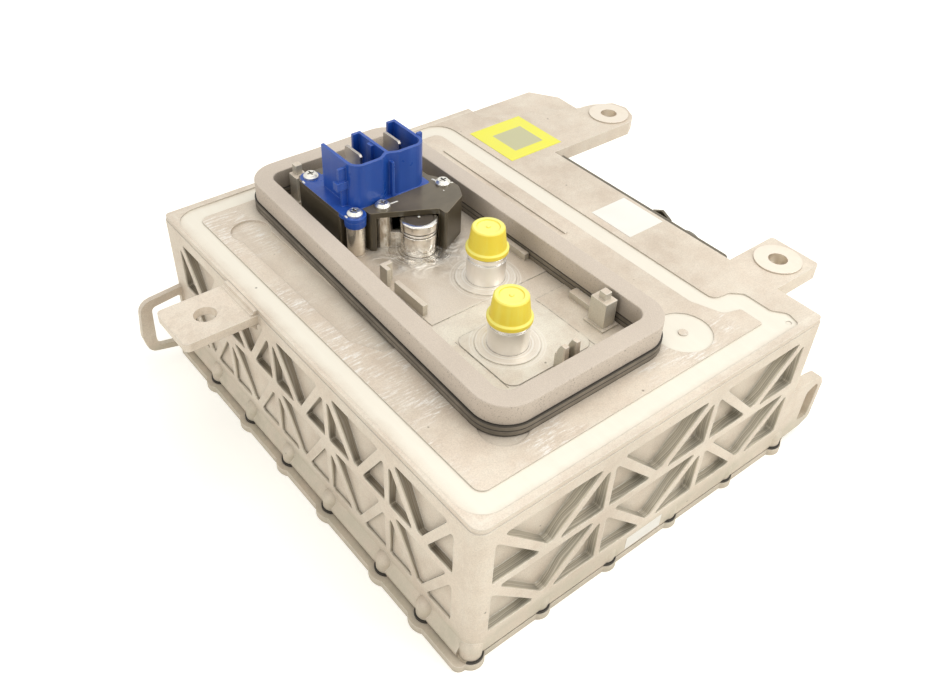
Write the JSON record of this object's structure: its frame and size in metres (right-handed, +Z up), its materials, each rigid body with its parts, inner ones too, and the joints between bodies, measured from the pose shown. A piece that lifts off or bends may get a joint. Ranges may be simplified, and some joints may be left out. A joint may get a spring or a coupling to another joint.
{
  "type": "vehicle traction battery",
  "caption": "Liquid-cooled traction battery in a flat die-cast housing with truss-ribbed walls, lugs, a foam seal frame, capped coolant spigots and a power socket.",
  "frame": {"origin": "on the ground, under the middle of the housing's rectangular footprint, lugs and loops apart", "axes": "+X to the right, towards the two flat lugs; +Y from the front wall to the back; +Z up, towards the connector"},
  "size_m": [0.3514, 0.2874, 0.1491],
  "materials": {
    "cast_alloy": "as-cast and bead-blasted, matte, slightly warm",
    "turned_alloy": "turned, satin",
    "zinc_steel": "zinc plated, satin",
    "seal_foam": "closed-cell foam, matte warm grey",
    "black_rubber": "matte black",
    "black_plastic": "glass-filled, moulded, fine matte",
    "blue_plastic": "moulded, semi-gloss",
    "yellow_plastic": "moulded, semi-gloss",
    "grey_plastic": "moulded, matte",
    "yellow_film": "printed film, plain colour fields",
    "white_film": "printed film, plain",
    "cell_case": "blue insulating film over an alloy can",
    "natural_plastic": "unpigmented moulding",
    "copper": "bare copper bar, satin",
    "gold_pin": "gold-flashed contact",
    "strap_steel": "cold-rolled strip",
    "pad_silicone": "soft gap filler",
    "board_green": "solder mask with dark parts",
    "fuse_ceramic": "glazed ceramic with metal tags"
  },
  "bodies": {
    "root": {"housing": "cast_alloy", "base_cover": "cast_alloy", "base_gasket": "black_rubber", "cover_screws": "zinc_steel", "lug_bushes": "zinc_steel", "seal_strip": "black_rubber", "seal_foam": "seal_foam", "inlet_spigot": "turned_alloy", "outlet_spigot": "turned_alloy", "inlet_cap": "yellow_plastic", "outlet_cap": "yellow_plastic", "vent_post": "turned_alloy", "vent_insert": "black_plastic", "connector_carrier": "black_plastic", "connector_shroud": "blue_plastic", "contact_blades": "zinc_steel", "carrier_screws": "zinc_steel", "side_shield": "black_plastic", "shield_rivets": "black_plastic", "harness_clip": "black_plastic", "signal_connector": "grey_plastic", "signal_pins": "gold_pin", "signal_screws": "zinc_steel", "yellow_label": "yellow_film", "white_label": "white_film", "foot_label": "white_film", "channel_sheet": "turned_alloy", "thermal_pads": "pad_silicone", "cells": "cell_case", "cell_spacers": "natural_plastic", "end_plates": "cast_alloy", "side_straps": "strap_steel", "cell_links": "copper", "row_link": "copper", "link_tray": "natural_plastic", "base_pads": "black_rubber", "contactors": "black_plastic", "power_bars": "copper", "return_bars": "copper", "main_fuse": "fuse_ceramic", "control_board": "board_green", "board_screws": "zinc_steel"}
  },
  "joints": []
}
